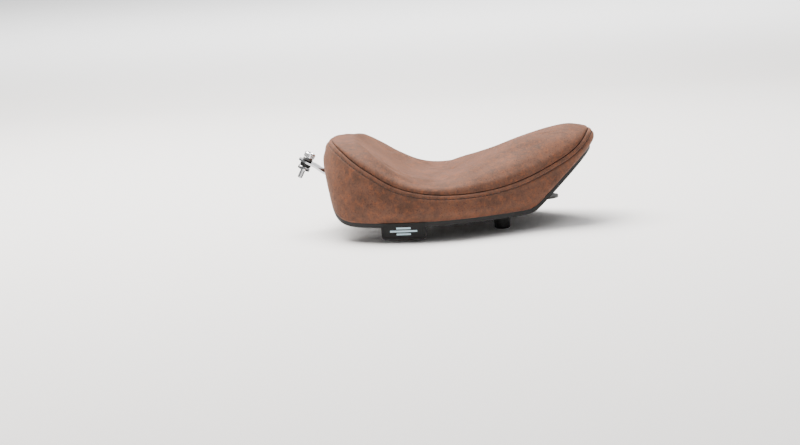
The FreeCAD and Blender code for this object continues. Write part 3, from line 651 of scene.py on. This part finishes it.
# ---- stitches ------------------------------------------------------------------------------------
def stitch_mesh():
    """Points and faces of one stitch that dips at both ends, 1 long and 1 wide, to be scaled in place."""
    made = bmesh.new()
    rings, sides = 9, 8
    loops = []
    for i in range(rings):
        s = i / (rings - 1)
        sink = -0.55 * (2 * s - 1) ** 4
        thick = 1 - 0.45 * abs(2 * s - 1) ** 3
        loops.append([
            made.verts.new(((s - 0.5), 0.5 * thick * math.cos(2 * math.pi * k / sides),
                            sink + 0.5 * thick * math.sin(2 * math.pi * k / sides)))
            for k in range(sides)])
    for a, b in zip(loops, loops[1:]):
        for k in range(sides):
            made.faces.new((a[k], a[(k + 1) % sides], b[(k + 1) % sides], b[k]))
    made.faces.new(loops[0][::-1])
    made.faces.new(loops[-1])
    mesh = bpy.data.meshes.new("stitch")
    made.to_mesh(mesh)
    made.free()
    return np.array([v.co for v in mesh.vertices]), [list(p.vertices) for p in mesh.polygons]


def make_stitches(shaped, normals, along, material):
    """A row of separate stitches along the stitched line below the seam."""
    shape, faces = stitch_mesh()
    row = WALL_ROWS + len(SEAM_ROWS) - 1 - SEAM_ROWS.index(STITCH_ROW)
    line = (shaped[row] + shaped[row - 1]) / 2
    normal = normals[row]
    total = round(along[-1] / STITCH_PITCH)
    wrapped = np.concatenate([along, [total * STITCH_PITCH]])
    line = np.concatenate([line, line[:1]])
    normal = np.concatenate([normal, normal[:1]])
    points, polygons = [], []
    for k in range(total):
        ends = [np.array([np.interp((k + s) * STITCH_PITCH, wrapped, line[:, c]) for c in range(3)])
                for s in (0.5 - STITCH_SHARE / 2, 0.5 + STITCH_SHARE / 2)]
        out = np.array([np.interp((k + 0.5) * STITCH_PITCH, wrapped, normal[:, c]) for c in range(3)])
        run = ends[1] - ends[0]
        side = np.cross(out, run / np.linalg.norm(run))
        centre = (ends[0] + ends[1]) / 2 + out * STITCH_RISE
        thickness = (shape[:, 1:2] * side + shape[:, 2:] * out) * STITCH_WIDTH
        points.append(centre + shape[:, :1] * run + thickness)
        polygons += [[k * len(shape) + i for i in f] for f in faces]
    mesh = bpy.data.meshes.new("stitches")
    mesh.from_pydata(np.concatenate(points).tolist(), [], polygons)
    mesh.polygons.foreach_set("use_smooth", [True] * len(mesh.polygons))
    obj = add_object("stitches", mesh, material)
    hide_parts("seam_thread")


# ---- studio --------------------------------------------------------------------------------------
CAMERA_DISTANCE = 2.6
CAMERA_LENS = 89.4  # mm
CAMERA_LIFT = math.radians(8.5)
CAMERA_ROLL = math.radians(3.4)  # the seat rides nose-up
AIM_LEFT = 0.078  # the seat sits right of the picture's middle
AIM_DOWN = 0.074  # and above it
TARGET_BACK = 0.002  # from the middle of the cover
TARGET_RISE = 0.019  # over its lowest point


def make_camera():
    low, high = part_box("top_panel")
    target = Vector(((low.x + high.x) / 2 - TARGET_BACK, 0, low.z + TARGET_RISE))
    back = Vector((0, -math.cos(CAMERA_LIFT), math.sin(CAMERA_LIFT)))
    place = target + back * CAMERA_DISTANCE
    level = (-back).to_track_quat("-Z", "Y").to_matrix()
    rolled = level @ Matrix.Rotation(-CAMERA_ROLL, 3, "Z")
    aim = target - rolled.col[0] * AIM_LEFT - rolled.col[1] * AIM_DOWN
    turned = (aim - place).to_track_quat("-Z", "Y").to_matrix() @ Matrix.Rotation(-CAMERA_ROLL, 3, "Z")
    data = bpy.data.cameras.new("camera")
    data.sensor_width = 36
    data.lens = CAMERA_LENS
    camera = bpy.data.objects.new("camera", data)
    camera.matrix_world = Matrix.Translation(place) @ turned.to_4x4()
    bpy.context.scene.collection.objects.link(camera)
    bpy.context.scene.camera = camera


def area_light(name, place, aim, size, power, colour=(1, 1, 1)):
    data = bpy.data.lights.new(name, "AREA")
    data.shape = "RECTANGLE"
    data.size, data.size_y = size
    data.energy = power
    data.color = colour
    light = bpy.data.objects.new(name, data)
    light.location = place
    light.rotation_euler = (Vector(aim) - Vector(place)).to_track_quat("-Z", "Y").to_euler()
    bpy.context.scene.collection.objects.link(light)


def make_studio():
    """A pale floor that curves up behind, soft light from above and behind, and a lit backdrop."""
    run, rise, bend, half = 9.0, 5.0, 2.0, 9.0
    outline = [(-run, 0.0)] + [(run - bend + bend * math.sin(a), bend - bend * math.cos(a))
                               for a in np.linspace(0, math.pi / 2, 16)] + [(run, rise)]
    points = [(x, y, z) for y, z in outline for x in (-half, half)]
    faces = [(2 * i, 2 * i + 1, 2 * i + 3, 2 * i + 2) for i in range(len(outline) - 1)]
    mesh = bpy.data.meshes.new("floor")
    mesh.from_pydata(points, [], faces)
    mesh.polygons.foreach_set("use_smooth", [True] * len(mesh.polygons))
    material, nodes, links, shader = new_material("floor")
    cloud = noise(nodes, links, coordinates(nodes, links), 3)
    tone = ramp(nodes, links, cloud, [(0.0, grey(0.86)), (1.0, grey(0.88))])
    links.new(tone, shader.inputs["Base Color"])
    shader.inputs["Roughness"].default_value = 0.9
    mesh.materials.append(material)
    floor = bpy.data.objects.new("floor", mesh)
    bpy.context.scene.collection.objects.link(floor)
    world = bpy.data.worlds.new("studio")
    world.use_nodes = True
    world.node_tree.nodes["Background"].inputs["Color"].default_value = (1, 1, 1, 1)
    world.node_tree.nodes["Background"].inputs["Strength"].default_value = 0.3
    bpy.context.scene.world = world
    area_light("key", (-0.6, 0.7, 2.1), (0, 0, 0.05), (2.2, 1.6), 200, (1.0, 0.95, 0.90))
    area_light("top", (0.2, 0.4, 2.2), (0, 0, 0.08), (2.6, 1.6), 60)
    area_light("backdrop", (0, 3.0, 2.6), (0, 6.5, 0.6), (4.0, 2.0), 420)


# ---- the scene -----------------------------------------------------------------------------------
make_camera()
finishes = dress_nodes()
grid, shaped, normals, along = make_cover(finishes["cover_vinyl"], rubber("seam_shadow", 0.012, 0.8))
make_foam(grid, normals, finishes["foam"])
make_felt(finishes["felt"])
make_stitches(shaped, normals, along, finishes["thread"])
make_studio()
